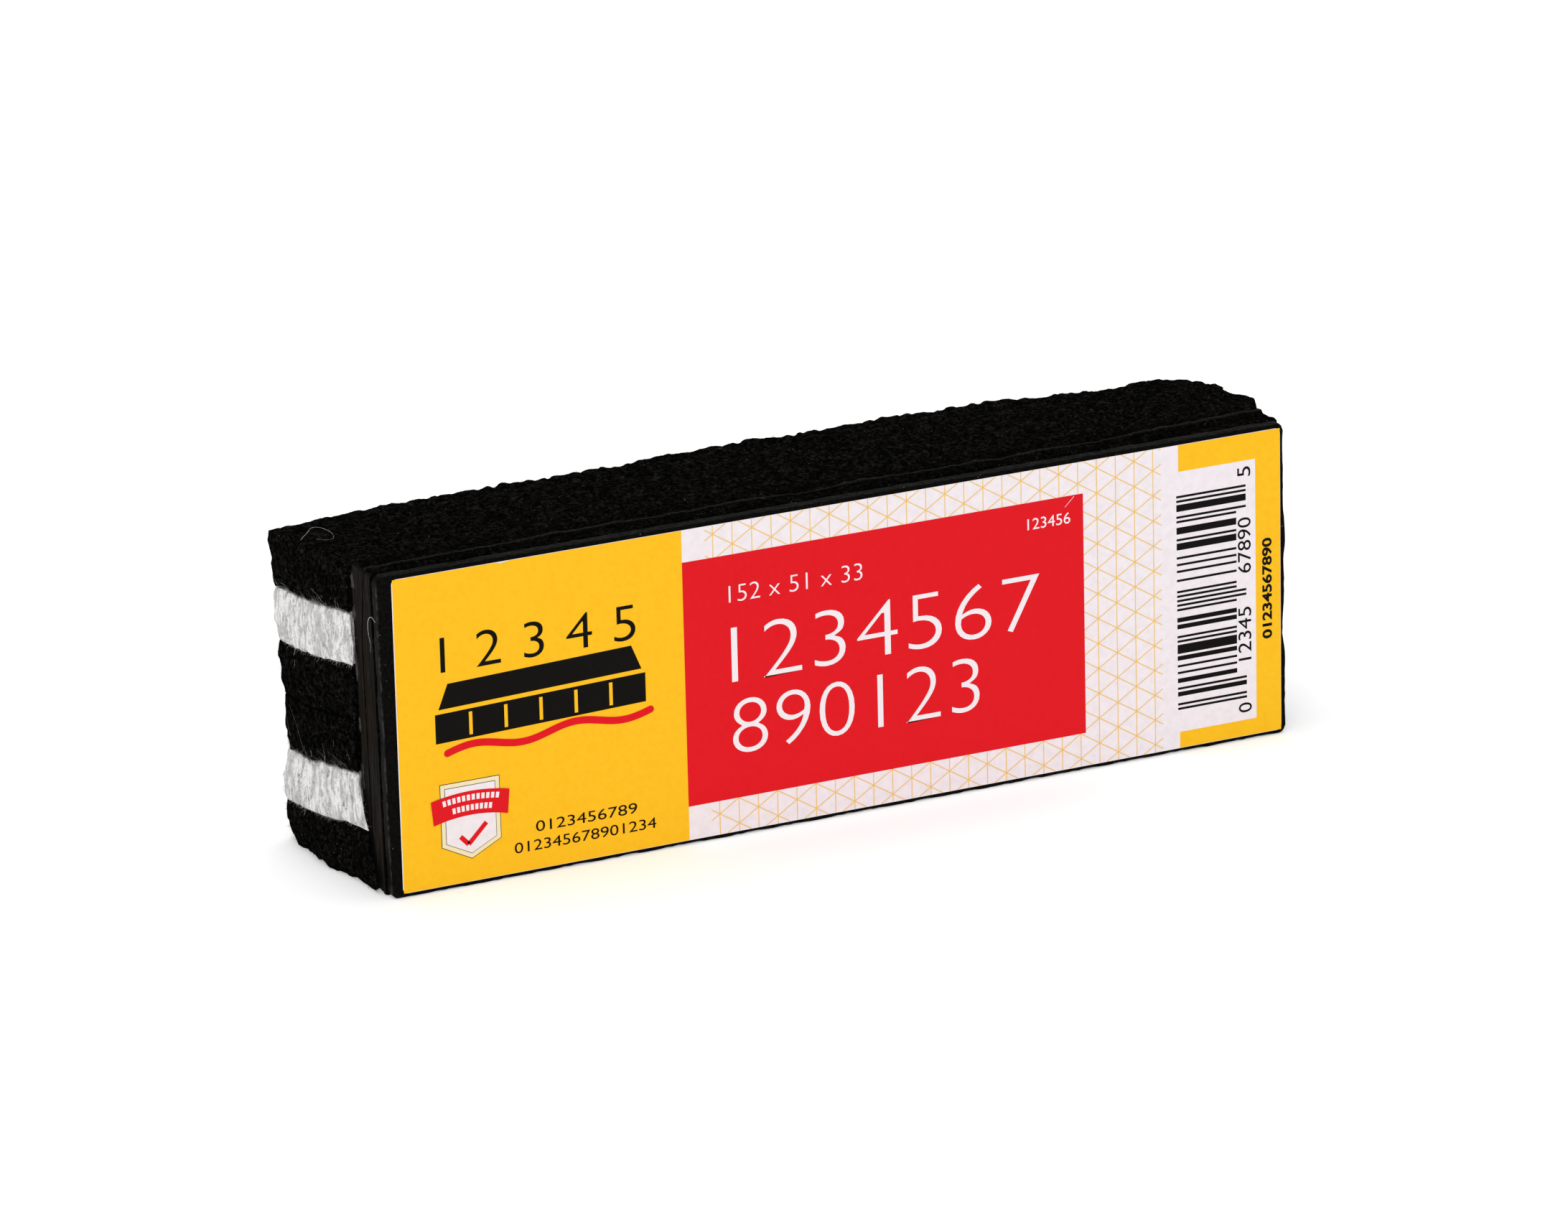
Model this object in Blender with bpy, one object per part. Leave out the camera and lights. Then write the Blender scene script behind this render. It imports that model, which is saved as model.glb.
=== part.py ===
"""Chalkboard eraser: six felt strips glued to a laminated backing that carries a printed paper label.

Units are metres. +X runs along the eraser, +Z is up, and +Y points out of the erasing face, so the
label looks towards -Y. The eraser stands on one long side, and the origin is on the surface that it
stands on, under the middle of its bounding box.
"""

import math

import bmesh
import bpy

# Driving dimensions of the whole eraser, from the nominal 6 x 2 x 1 5/16 inches.
LENGTH = 0.1524
HEIGHT = 0.0508
DEPTH = 0.03334

# Clearances that keep neighbouring solids apart.
FILM_GAP = 0.00003
LAYER_GAP = 0.00005
STRIP_GAP = 0.0003

# Printed label and the adhesive film under it, stuck on a little to the right of the middle.
LABEL_LENGTH = 0.1500
LABEL_HEIGHT = 0.0494
LABEL_THICKNESS = 0.0001
LABEL_CORNER_RADIUS = 0.0008
LABEL_OFFSET = 0.0006
ADHESIVE_THICKNESS = 0.00005
ADHESIVE_INSET = 0.0002

# Hard face board that the label is stuck to.
BOARD_THICKNESS = 0.0019
BOARD_INSET = 0.0002
BOARD_CORNER_RADIUS = 0.0010
BOARD_EDGE_RADIUS = 0.0003

# Two dense felt plies behind the board, the front one thicker.
FRONT_PLY_THICKNESS = 0.0041
REAR_PLY_THICKNESS = 0.0024
PLY_CORNER_RADIUS = 0.0008
PLY_EDGE_RADIUS = 0.0003

# Glue films between the layers, set back from the edges.
GLUE_THICKNESS = 0.00015
BED_THICKNESS = 0.0002
GLUE_INSET = 0.0010
GLUE_CORNER_RADIUS = 0.0010

# Felt strips, counted from the top. Their seams lean down towards the erasing face.
STRIP_COLOURS = ("black", "white", "black", "black", "white", "black")
STRIP_COUNT = len(STRIP_COLOURS)
SEAM_RISE_AT_ROOT = 0.0006
SEAM_LEAN = 0.0026
ROOT_END_OVERHANG = 0.0004
FACE_END_OVERHANG = 0.0018
FELT_EDGE_RADIUS = 0.0010

CORNER_SEGMENTS = 6
EDGE_SEGMENTS = 3
SHARP_ANGLE = 0.7


def clear_scene():
    for old in list(bpy.data.objects):
        bpy.data.objects.remove(old, do_unlink=True)


def make_material(name, colour, roughness):
    """A Principled BSDF of one colour; none of the eraser is metal."""
    material = bpy.data.materials.new(name)
    material.use_nodes = True
    shader = material.node_tree.nodes["Principled BSDF"]
    shader.inputs["Base Color"].default_value = (*colour, 1.0)
    shader.inputs["Roughness"].default_value = roughness
    shader.inputs["Metallic"].default_value = 0.0
    material.diffuse_color = (*colour, 1.0)
    return material


def add_piece(name, mesh_data, material, location, parent):
    """Turns a bmesh into a named object, shaded smooth except across its sharp edges."""
    bmesh.ops.recalc_face_normals(mesh_data, faces=mesh_data.faces)
    mesh = bpy.data.meshes.new(name)
    mesh_data.to_mesh(mesh)
    mesh_data.free()
    mesh.shade_smooth()
    mesh.set_sharp_from_angle(angle=SHARP_ANGLE)
    mesh.materials.append(material)
    piece = bpy.data.objects.new(name, mesh)
    piece.location = location
    piece.parent = parent
    bpy.context.scene.collection.objects.link(piece)
    return piece


def loft(rings):
    """A closed solid through a list of rings, each a list of points in the same order round the Y axis."""
    solid = bmesh.new()
    loops = [[solid.verts.new(point) for point in ring] for ring in rings]
    for near, far in zip(loops, loops[1:]):
        for i in range(len(near)):
            solid.faces.new([near[i - 1], near[i], far[i], far[i - 1]])
    solid.faces.new(loops[0])
    solid.faces.new(loops[-1])
    return solid


def rounded_rectangle(length, height, radius, y):
    """Points of a rectangle in the XZ plane with an arc at each corner, centred on the Y axis."""
    points = []
    for quarter, (sx, sz) in enumerate(((1, 1), (-1, 1), (-1, -1), (1, -1))):
        centre_x = sx * (length / 2 - radius)
        centre_z = sz * (height / 2 - radius)
        for step in range(CORNER_SEGMENTS + 1):
            angle = math.pi / 2 * (quarter + step / CORNER_SEGMENTS)
            points.append((centre_x + radius * math.cos(angle), y, centre_z + radius * math.sin(angle)))
    return points


def rim_steps(radius):
    """Inset from the outline and distance behind the front face, along a quarter round of that radius."""
    for step in range(EDGE_SEGMENTS + 1):
        angle = math.pi / 2 * step / EDGE_SEGMENTS
        yield radius * (1 - math.sin(angle)), radius * (1 - math.cos(angle))


def rounded_slab(length, thickness, height, corner_radius, edge_radius=0.0):
    """A flat layer centred on its own origin, with rounded corners and, if asked, a rounded front rim."""
    front = -thickness / 2
    sections = list(rim_steps(edge_radius)) if edge_radius > 0.0 else [(0.0, 0.0)]
    rings = [
        rounded_rectangle(length - 2 * inset, height - 2 * inset, corner_radius - inset, front + behind)
        for inset, behind in sections
    ]
    rings.append(rounded_rectangle(length, height, corner_radius, thickness / 2))
    return loft(rings)


def face_board():
    """The hard board: a little smaller than the plies, with rounded corners and a worn front rim."""
    length = LENGTH - 2 * BOARD_INSET
    height = HEIGHT - 2 * BOARD_INSET
    return rounded_slab(length, BOARD_THICKNESS, height, BOARD_CORNER_RADIUS, BOARD_EDGE_RADIUS)


def paper_layer(thickness, inset):
    """A layer of the label's outline, drawn in by the inset."""
    length = LABEL_LENGTH - 2 * inset
    height = LABEL_HEIGHT - 2 * inset
    return rounded_slab(length, thickness, height, LABEL_CORNER_RADIUS)


def backing_ply(thickness):
    """A dense felt ply of the eraser's full length and height."""
    return rounded_slab(LENGTH, thickness, HEIGHT, PLY_CORNER_RADIUS, PLY_EDGE_RADIUS)


def glue_film(thickness):
    """A film set back from the eraser's edges all round."""
    length = LENGTH - 2 * GLUE_INSET
    height = HEIGHT - 2 * GLUE_INSET
    return rounded_slab(length, thickness, height, GLUE_CORNER_RADIUS)


def layer_stack():
    """Each layer from the label inwards: name, mesh, thickness, gap behind it, material, shift along X."""
    label = paper_layer(LABEL_THICKNESS, 0.0)
    adhesive = paper_layer(ADHESIVE_THICKNESS, ADHESIVE_INSET)
    front_ply = backing_ply(FRONT_PLY_THICKNESS)
    rear_ply = backing_ply(REAR_PLY_THICKNESS)
    return [
        ("label", label, LABEL_THICKNESS, FILM_GAP, "label_paper", LABEL_OFFSET),
        ("label_adhesive", adhesive, ADHESIVE_THICKNESS, FILM_GAP, "clear_adhesive", LABEL_OFFSET),
        ("face_board", face_board(), BOARD_THICKNESS, LAYER_GAP, "black_board", 0.0),
        ("board_glue", glue_film(GLUE_THICKNESS), GLUE_THICKNESS, LAYER_GAP, "brown_glue", 0.0),
        ("backing_ply_front", front_ply, FRONT_PLY_THICKNESS, LAYER_GAP, "backing_felt", 0.0),
        ("ply_glue", glue_film(GLUE_THICKNESS), GLUE_THICKNESS, LAYER_GAP, "brown_glue", 0.0),
        ("backing_ply_rear", rear_ply, REAR_PLY_THICKNESS, LAYER_GAP, "backing_felt", 0.0),
        ("felt_glue_bed", glue_film(BED_THICKNESS), BED_THICKNESS, LAYER_GAP, "brown_glue", 0.0),
    ]


def add_layers(materials, parent):
    """Places the layers one behind the other and returns the depth where the felt starts."""
    y = -DEPTH / 2
    for name, mesh_data, thickness, gap_behind, material, shift in layer_stack():
        add_piece(name, mesh_data, materials[material], (shift, y + thickness / 2, HEIGHT / 2), parent)
        y += thickness + gap_behind
    return y


def seam_height(seam, share):
    """Height of a seam, counted from 0 at the bottom side, at a share of the way from root to erasing face.

    The top and bottom sides of the stack are level; only the seams between strips lean.
    """
    level = HEIGHT * seam / STRIP_COUNT
    if seam in (0, STRIP_COUNT):
        return level
    return level + SEAM_RISE_AT_ROOT - SEAM_LEAN * share


def strip_side(seam, side, share):
    """Height of a strip's surface beside a seam, half a gap away from it; side is +1 above the seam."""
    gap = 0.0 if seam in (0, STRIP_COUNT) else STRIP_GAP / 2
    return seam_height(seam, share) + side * gap


def strip_section(number, depth, y, inset):
    """The four corners of a strip's section at depth y, drawn in from its outline by the inset."""
    share = y / depth
    upper_seam = STRIP_COUNT - number + 1
    half = LENGTH / 2 + ROOT_END_OVERHANG + (FACE_END_OVERHANG - ROOT_END_OVERHANG) * share - inset
    low = strip_side(upper_seam - 1, 1, share) + inset
    high = strip_side(upper_seam, -1, share) - inset
    return [(half, y, high), (-half, y, high), (-half, y, low), (half, y, low)]


def felt_strip(number, depth):
    """One strip with its root at y = 0, flared ends, leaning sides and a softly rounded erasing face."""
    rings = [strip_section(number, depth, 0.0, 0.0)]
    for inset, before_face in reversed(list(rim_steps(FELT_EDGE_RADIUS))):
        rings.append(strip_section(number, depth, depth - before_face, inset))
    return loft(rings)


def add_strips(materials, parent, root_y):
    """Places the strips side by side from the top down, from the glue bed to the erasing face."""
    depth = DEPTH / 2 - root_y
    for number, colour in enumerate(STRIP_COLOURS, start=1):
        strip = felt_strip(number, depth)
        felt = materials[f"{colour}_felt"]
        add_piece(f"felt_strip_{number}_{colour}", strip, felt, (0.0, root_y, 0.0), parent)


def main():
    clear_scene()
    materials = {
        "label_paper": make_material("label_paper", (0.95, 0.53, 0.02), 0.45),
        "clear_adhesive": make_material("clear_adhesive", (0.80, 0.76, 0.62), 0.30),
        "black_board": make_material("black_board", (0.010, 0.010, 0.010), 0.55),
        "brown_glue": make_material("brown_glue", (0.12, 0.08, 0.05), 0.40),
        "backing_felt": make_material("backing_felt", (0.018, 0.016, 0.015), 0.75),
        "black_felt": make_material("black_felt", (0.006, 0.006, 0.007), 0.95),
        "white_felt": make_material("white_felt", (0.75, 0.73, 0.73), 0.95),
    }
    eraser = bpy.data.objects.new("chalkboard_eraser", None)
    bpy.context.scene.collection.objects.link(eraser)
    root_y = add_layers(materials, eraser)
    add_strips(materials, eraser, root_y)


main()
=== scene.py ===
import math
from itertools import product

import bpy
import numpy as np
from mathutils import Matrix, Vector


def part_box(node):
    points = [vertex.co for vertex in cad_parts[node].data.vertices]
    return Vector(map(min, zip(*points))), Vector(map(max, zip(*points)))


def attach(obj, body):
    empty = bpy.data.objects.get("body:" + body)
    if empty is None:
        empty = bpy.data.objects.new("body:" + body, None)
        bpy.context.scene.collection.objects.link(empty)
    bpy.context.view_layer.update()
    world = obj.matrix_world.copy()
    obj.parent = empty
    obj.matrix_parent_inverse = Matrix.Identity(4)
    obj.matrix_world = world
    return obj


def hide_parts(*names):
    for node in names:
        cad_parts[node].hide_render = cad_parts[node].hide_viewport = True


# A felt chalkboard eraser that stands on its long side. Lengths are millimetres in the row frame, unless
# a name or a comment says otherwise; a piece is scaled to metres when its mesh or curve is made.

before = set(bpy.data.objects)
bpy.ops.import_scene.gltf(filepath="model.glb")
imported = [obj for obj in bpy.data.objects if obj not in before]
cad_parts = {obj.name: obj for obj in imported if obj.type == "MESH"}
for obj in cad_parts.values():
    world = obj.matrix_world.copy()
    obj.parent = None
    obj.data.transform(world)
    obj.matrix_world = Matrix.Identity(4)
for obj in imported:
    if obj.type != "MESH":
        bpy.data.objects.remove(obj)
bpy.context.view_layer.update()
MM = 0.001


def node_box(name):
    """A CAD node's lowest and highest corner, in millimetres."""
    low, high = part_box(name)
    return np.array(low) / MM, np.array(high) / MM


LABEL_LOW, LABEL_HIGH = node_box("label")
BOARD_LOW, BOARD_HIGH = node_box("face_board")
FRONT_PLY_LOW, FRONT_PLY_HIGH = node_box("backing_ply_front")
REAR_PLY_LOW, REAR_PLY_HIGH = node_box("backing_ply_rear")
PLY_GLUE_LOW, PLY_GLUE_HIGH = node_box("ply_glue")
FELT_LOW, FELT_HIGH = node_box("felt_strip_1_black")
FRONT = LABEL_LOW[1]
ROOT = FELT_LOW[1]
FACE = FELT_HIGH[1]
HEIGHT = FRONT_PLY_HIGH[2]
HALF_LENGTH = FRONT_PLY_HIGH[0]


# ---- Camera, lights and floor -------------------------------------------------------------------

CAMERA_LENS = 198.7
CAMERA_SENSOR = 36.0
CAMERA_TARGET = Vector((-0.0022, 0.0, 0.0296))
CAMERA_DISTANCE = 1.3284
CAMERA_AZIMUTH = math.radians(25.57)
CAMERA_ELEVATION = math.radians(18.45)
CAMERA_ROLL = math.radians(-1.40)
CAMERA_CLIP_START = 0.01
WORLD_STRENGTH = 0.60
WHITE_LIGHT = (1.0, 1.0, 1.0, 1.0)
# Each soft light's name, place and size in metres, and power in watts.
LIGHTS = (("key", (-0.9, -1.6, 1.3), 1.2, 9.0), ("top", (0.0, 0.3, 2.0), 1.6, 12.0))
# The floor is a square in metres, a hair below the eraser so that no faces share a plane.
FLOOR_SIZE = 30.0
FLOOR_DROP = 0.00002
FLOOR_GLOW = 0.28


def look_from(back, spot):
    """A matrix at a spot whose local Z points along back, with local X level."""
    side = Vector((0, 0, 1)).cross(back).normalized()
    up = back.cross(side)
    turn = Matrix((side, up, back)).transposed().to_4x4()
    return Matrix.Translation(spot) @ turn


def add_camera():
    data = bpy.data.cameras.new("camera")
    data.lens = CAMERA_LENS
    data.sensor_width = CAMERA_SENSOR
    data.clip_start = CAMERA_CLIP_START
    camera = bpy.data.objects.new("camera", data)
    bpy.context.scene.collection.objects.link(camera)
    level = math.cos(CAMERA_ELEVATION)
    back = Vector((
        -math.sin(CAMERA_AZIMUTH) * level,
        -math.cos(CAMERA_AZIMUTH) * level,
        math.sin(CAMERA_ELEVATION),
    ))
    spot = CAMERA_TARGET + back * CAMERA_DISTANCE
    camera.matrix_world = look_from(back, spot) @ Matrix.Rotation(CAMERA_ROLL, 4, "Z")
    bpy.context.scene.camera = camera


def add_area_light(name, spot, size, power):
    """A square soft light, sizes in metres, aimed at the eraser."""
    data = bpy.data.lights.new(name, "AREA")
    data.size = size
    data.energy = power
    light = bpy.data.objects.new(name, data)
    bpy.context.scene.collection.objects.link(light)
    spot = Vector(spot)
    light.matrix_world = look_from((spot - CAMERA_TARGET).normalized(), spot)


def add_world():
    world = bpy.data.worlds.new("studio")
    world.use_nodes = True
    background = world.node_tree.nodes["Background"]
    set_inputs(background, {"Color": WHITE_LIGHT, "Strength": WORLD_STRENGTH})
    bpy.context.scene.world = world


# ---- Material building --------------------------------------------------------------------------

EVEN = (1.0, 1.0, 1.0)


def new_material(name, roughness, specular):
    """A Principled material, and its node tree."""
    material = bpy.data.materials.new(name)
    material.use_nodes = True
    tree = material.node_tree
    set_inputs(tree.nodes["Principled BSDF"], {"Roughness": roughness, "Specular IOR Level": specular})
    return material, tree


def set_inputs(node, values):
    for name, value in values.items():
        node.inputs[name].default_value = value


def stretched_coordinates(tree, stretch=EVEN):
    """Object coordinates in metres, scaled by axis; a share below 1 stretches a pattern along that axis."""
    source = tree.nodes.new("ShaderNodeTexCoord")
    mapping = tree.nodes.new("ShaderNodeMapping")
    mapping.inputs["Scale"].default_value = stretch
    tree.links.new(source.outputs["Object"], mapping.inputs["Vector"])
    return mapping.outputs["Vector"]


def noise(tree, cell, stretch=EVEN, detail=3.0, roughness=0.6):
    """Noise with features about one cell across, in millimetres; returns its value socket."""
    texture = tree.nodes.new("ShaderNodeTexNoise")
    set_inputs(texture, {"Scale": 1.0 / (cell * MM), "Detail": detail, "Roughness": roughness})
    tree.links.new(stretched_coordinates(tree, stretch), texture.inputs["Vector"])
    return texture.outputs["Fac"]


def cells(tree, cell):
    """Voronoi distance with cells of a size in millimetres."""
    texture = tree.nodes.new("ShaderNodeTexVoronoi")
    texture.inputs["Scale"].default_value = 1.0 / (cell * MM)
    tree.links.new(stretched_coordinates(tree), texture.inputs["Vector"])
    return texture.outputs["Distance"]


def ramp(tree, value, low, high, low_to=0.0, high_to=1.0):
    """Value mapped from low..high to low_to..high_to, and held there outside."""
    node = tree.nodes.new("ShaderNodeMapRange")
    node.interpolation_type = "SMOOTHSTEP"
    tree.links.new(value, node.inputs["Value"])
    set_inputs(node, {"From Min": low, "From Max": high, "To Min": low_to, "To Max": high_to})
    return node.outputs["Result"]


def blotches(tree, cell, low, high, low_to=0.0, high_to=1.0, **kind):
    """Noise with features about one cell across, mapped from low..high to low_to..high_to."""
    return ramp(tree, noise(tree, cell, **kind), low, high, low_to, high_to)


def combine(tree, operation, first, second):
    """A Math node on two sockets or numbers."""
    node = tree.nodes.new("ShaderNodeMath")
    node.operation = operation
    for place, value in enumerate((first, second)):
        if isinstance(value, (int, float)):
            node.inputs[place].default_value = value
        else:
            tree.links.new(value, node.inputs[place])
    return node.outputs["Value"]


def multiply(tree, first, second):
    return combine(tree, "MULTIPLY", first, second)


def blend_colour(tree, share, first, second):
    """A mix of two colours, each a tuple or a socket, by a share socket."""
    node = tree.nodes.new("ShaderNodeMix")
    node.data_type = "RGBA"
    tree.links.new(share, node.inputs["Factor"])
    for name, value in (("A", first), ("B", second)):
        socket = next(s for s in node.inputs if s.name == name and s.type == "RGBA")
        if isinstance(value, tuple):
            socket.default_value = (*value, 1.0)
        else:
            tree.links.new(value, socket)
    return next(s for s in node.outputs if s.type == "RGBA")


def surface(tree, colour, height, depth, roughness=None):
    """Links a colour, a relief of a depth in millimetres and, if given, a roughness to the shader."""
    shader = tree.nodes["Principled BSDF"]
    bump = tree.nodes.new("ShaderNodeBump")
    bump.inputs["Distance"].default_value = depth * MM
    tree.links.new(height, bump.inputs["Height"])
    tree.links.new(bump.outputs["Normal"], shader.inputs["Normal"])
    tree.links.new(colour, shader.inputs["Base Color"])
    if roughness is not None:
        tree.links.new(roughness, shader.inputs["Roughness"])


def wear_and_highlight_mask(tree):
    """The mesh's attribute of scuffing, cut ends and painted highlight: 0 is skin, 1 is a cut ply end, and
    the board's rubbed rim with its painted highlight; the board's long sides are below 0, a painted highlight
    on a ply's ridge above 1.
    """
    node = tree.nodes.new("ShaderNodeAttribute")
    node.attribute_name = "wear_and_highlight"
    return node.outputs["Fac"]


# ---- Materials ----------------------------------------------------------------------------------

PAPER = (0.905, 0.845, 0.880)
PAPER_SHADE = (0.85, 0.79, 0.825)
BOARD_SKIN = (0.0012, 0.0012, 0.0012)
BOARD_GRAIN = (0.0058, 0.0055, 0.0048)
# Paler rim of the board: scuffing, and a painted highlight along the edge.
BOARD_SCUFF_HIGHLIGHT = (0.042, 0.039, 0.033)
BOARD_SPECK = (0.22, 0.21, 0.19)
BOARD_NAP = (0.0120, 0.0112, 0.0098)
PLY_CUT = (0.0110, 0.0101, 0.0088)
PLY_STREAK = (0.0320, 0.0295, 0.0255)
PLY_STAIN = (0.0170, 0.0120, 0.0085)
PLY_NAP = (0.0150, 0.0140, 0.0122)
# Painted highlight along the ply's ridge at the seam.
PLY_RIDGE_HIGHLIGHT = (0.058, 0.056, 0.051)
NAP_SHADE = (0.0010, 0.0010, 0.0009)
BLACK_TUFT = (0.0230, 0.0215, 0.0190)
BLACK_FIBRE_SHADE = (0.0025, 0.0025, 0.0023)
BLACK_FIBRE_TIP = (0.0160, 0.0152, 0.0140)
LINT_FLECK = (0.14, 0.135, 0.125)
WHITE_SHADE = (0.58, 0.565, 0.56)
WHITE_TUFT = (1.0, 0.985, 0.98)
WHITE_CRACK = (0.20, 0.18, 0.17)
WHITE_HAIR = (0.12, 0.11, 0.10)
# Shares that stretch a pattern: streaks up a cut ply, its stains, the painted highlight on its ridge, and
# strands up a white end.
CUT_STRETCH = (1.0, 1.0, 0.05)
STAIN_STRETCH = (1.0, 1.0, 0.5)
RIDGE_STRETCH = (0.45, 1.0, 1.0)
WHITE_STRETCH = (1.0, 0.9, 0.25)
FLOOR_SHADE = (0.95, 0.95, 0.95)
FLOOR_PALE = (0.96, 0.96, 0.96)


def ink_material(name, ink, deep):
    """Print on coated paper: the ink lies a little unevenly, over faint paper grain."""
    material, tree = new_material(name, 0.48, 0.06)
    broad = blotches(tree, 0.9, 0.35, 0.75)
    fine = blotches(tree, 0.22, 0.58, 0.78, 0.0, 0.55, detail=2.0)
    share = combine(tree, "MAXIMUM", multiply(tree, broad, 0.35), fine)
    colour = blend_colour(tree, share, ink, deep)
    surface(tree, colour, noise(tree, 0.35), 0.006, ramp(tree, broad, 0.0, 1.0, 0.38, 0.5))
    return material


def paper_material():
    material, tree = new_material("label_paper_white", 0.5, 0.12)
    share = blotches(tree, 1.4, 0.35, 0.7, detail=4.0)
    colour = blend_colour(tree, share, PAPER, PAPER_SHADE)
    surface(tree, colour, noise(tree, 0.3, detail=4.0), 0.01, ramp(tree, share, 0.0, 1.0, 0.45, 0.6))
    return material


def nap_colour(tree, base, tuft, lint):
    """Matt fibres with paler tips, in clumps, and sparse pale flecks of lint."""
    nap = blotches(tree, 0.68, 0.44, 0.64, detail=6.0, roughness=0.8)
    clumps = blotches(tree, 2.2, 0.35, 0.7, 0.35, 1.0, detail=3.0)
    colour = blend_colour(tree, multiply(tree, nap, clumps), base, tuft)
    flecks = ramp(tree, cells(tree, 0.8), 0.22, 0.10)
    sparse = blotches(tree, 1.7, 0.54, 0.68, 0.0, lint, detail=3.0)
    return blend_colour(tree, multiply(tree, flecks, sparse), colour, LINT_FLECK)


def board_material():
    """Black fibreboard: a satin face with a few pale specks, a grey rubbed rim with a painted highlight along
    it, and matt long sides.
    """
    material, tree = new_material("black_board_skin", 0.6, 0.02)
    wear_and_highlight = wear_and_highlight_mask(tree)
    patchy = blotches(tree, 1.1, 0.38, 0.66, detail=5.0)
    # The rim is paler: scuffing, and a painted highlight along the edge.
    worn = multiply(tree, ramp(tree, wear_and_highlight, 0.0, 1.0), patchy)
    grain = blotches(tree, 0.5, 0.35, 0.7, detail=4.0)
    scuffed_and_lit = blend_colour(tree, worn, blend_colour(tree, grain, BOARD_SKIN, BOARD_GRAIN), BOARD_SCUFF_HIGHLIGHT)
    specks = multiply(tree, ramp(tree, cells(tree, 1.1), 0.12, 0.05), 0.45)
    specks = multiply(tree, specks, blotches(tree, 5.0, 0.5, 0.62))
    face = blend_colour(tree, specks, scuffed_and_lit, BOARD_SPECK)
    side = nap_colour(tree, NAP_SHADE, BOARD_NAP, 0.4)
    colour = blend_colour(tree, ramp(tree, wear_and_highlight, -1.0, 0.0, 1.0, 0.0), face, side)
    surface(tree, colour, noise(tree, 0.45, detail=4.0), 0.03, ramp(tree, grain, 0.0, 1.0, 0.42, 0.62))
    return material


def backing_material():
    """Pressed felt: black nap on the long sides, warm grey cut ends, and a painted highlight, broken up,
    along the ridge at the seam on the top side.
    """
    material, tree = new_material("backing_felt_cut", 0.9, 0.0)
    streaks = blotches(tree, 0.42, 0.36, 0.68, stretch=CUT_STRETCH, detail=4.0)
    patches = blotches(tree, 5.0, 0.4, 0.65, stretch=STAIN_STRETCH)
    cut = blend_colour(tree, streaks, PLY_CUT, PLY_STREAK)
    cut = blend_colour(tree, multiply(tree, patches, 0.4), cut, PLY_STAIN)
    wear_and_highlight = wear_and_highlight_mask(tree)
    base = blend_colour(tree, ramp(tree, wear_and_highlight, 0.0, 1.0), nap_colour(tree, NAP_SHADE, PLY_NAP, 0.5), cut)
    broken = blotches(tree, 1.1, 0.42, 0.62, stretch=RIDGE_STRETCH, detail=5.0)
    # A painted highlight on the ridge at the seam, broken up.
    colour = blend_colour(tree, multiply(tree, ramp(tree, wear_and_highlight, 1.15, 1.9), broken), base, PLY_RIDGE_HIGHLIGHT)
    surface(tree, colour, combine(tree, "ADD", noise(tree, 0.5, detail=5.0), streaks), 0.14)
    return material


def black_felt_material(name, base, tuft, lint):
    """Black felt: a matt nap whose fibre tips catch a little light, with pale lint in it."""
    material, tree = new_material(name, 0.95, 0.0)
    surface(tree, nap_colour(tree, base, tuft, lint), noise(tree, 0.5, detail=6.0, roughness=0.75), 0.28)
    return material


def white_felt_material(name):
    """White felt: soft strands across the cut ends, with thin shadowed cracks and a few dark hairs."""
    material, tree = new_material(name, 0.9, 0.02)
    strands = blotches(tree, 0.9, 0.34, 0.54, stretch=WHITE_STRETCH, detail=5.0, roughness=0.75)
    grains = blotches(tree, 0.6, 0.36, 0.52, detail=5.0, roughness=0.75)
    soft = combine(tree, "ADD", multiply(tree, strands, 0.55), multiply(tree, grains, 0.45))
    colour = blend_colour(tree, soft, WHITE_SHADE, WHITE_TUFT)
    middle = combine(tree, "SUBTRACT", noise(tree, 1.5, stretch=WHITE_STRETCH, detail=3.0), 0.5)
    thin = ramp(tree, combine(tree, "ABSOLUTE", middle, 0.0), 0.022, 0.0)
    cracks = multiply(tree, thin, blotches(tree, 1.8, 0.44, 0.60))
    colour = blend_colour(tree, multiply(tree, cracks, 0.85), colour, WHITE_CRACK)
    hairs = multiply(tree, ramp(tree, cells(tree, 0.7), 0.11, 0.04), 0.35)
    hairs = multiply(tree, hairs, blotches(tree, 2.4, 0.55, 0.65))
    colour = blend_colour(tree, hairs, colour, WHITE_HAIR)
    height = combine(tree, "ADD", noise(tree, 0.6, detail=6.0, roughness=0.75), strands)
    surface(tree, colour, height, 0.22, ramp(tree, strands, 0.0, 1.0, 0.98, 0.85))
    return material


def glue_material(name, thin, thick, roughness):
    """Dried glue, uneven in colour and gloss."""
    material, tree = new_material(name, roughness, 0.3)
    share = blotches(tree, 0.8, 0.35, 0.7, detail=4.0)
    matt = ramp(tree, share, 0.0, 1.0, roughness, roughness + 0.3)
    surface(tree, blend_colour(tree, share, thin, thick), noise(tree, 0.6, detail=4.0), 0.08, matt)
    return material


def floor_material():
    material, tree = new_material("pale_floor", 0.9, 0.0)
    shader = tree.nodes["Principled BSDF"]
    set_inputs(shader, {"Emission Color": WHITE_LIGHT, "Emission Strength": FLOOR_GLOW})
    share = blotches(tree, 400.0, 0.3, 0.7)
    tree.links.new(blend_colour(tree, share, FLOOR_SHADE, FLOOR_PALE), shader.inputs["Base Color"])
    return material


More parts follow.
